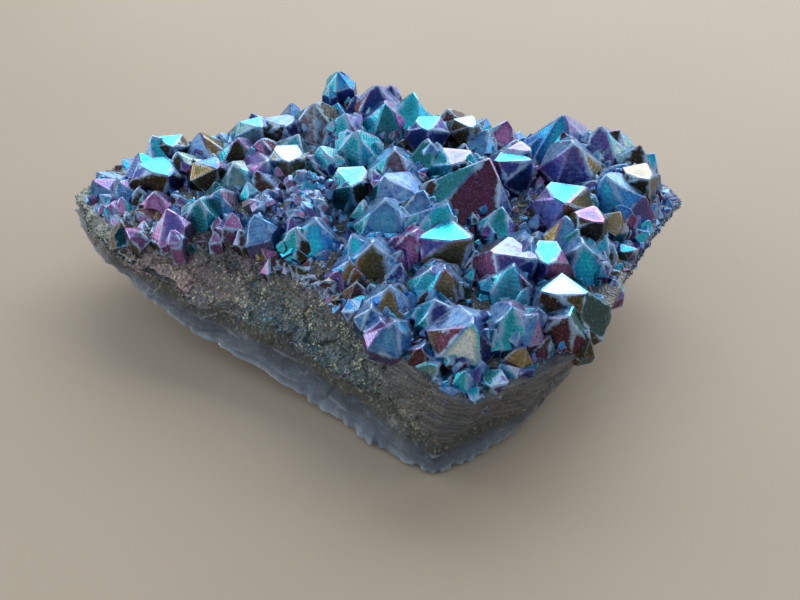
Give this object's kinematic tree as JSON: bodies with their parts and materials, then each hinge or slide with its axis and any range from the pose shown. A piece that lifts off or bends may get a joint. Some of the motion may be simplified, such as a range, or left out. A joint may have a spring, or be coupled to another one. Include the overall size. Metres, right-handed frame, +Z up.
{
  "type": "coated quartz crystal cluster",
  "caption": "Broken slab of geode wall: six-sided quartz points with a rainbow metallic coating over a slate-blue chalcedony base with a flat cut to rest on.",
  "frame": {"origin": "centre of the bounding box in X and Y, at the flat cut of the base that it rests on (Z = 0)", "axes": "+Z up, out of the crystal field, which is also the shortest extent; +X along the longest extent, from the thin left tip to the right tip; +Y away from the front corner"},
  "size_m": [0.1136, 0.0898, 0.029],
  "materials": {
    "coated_quartz": "quartz points with a rainbow metal coating, blue, teal, violet and plum by face, over a grainy gold-green crust and smooth slate-blue chalcedony"
  },
  "bodies": {
    "root": {"cluster": "coated_quartz"}
  },
  "joints": []
}
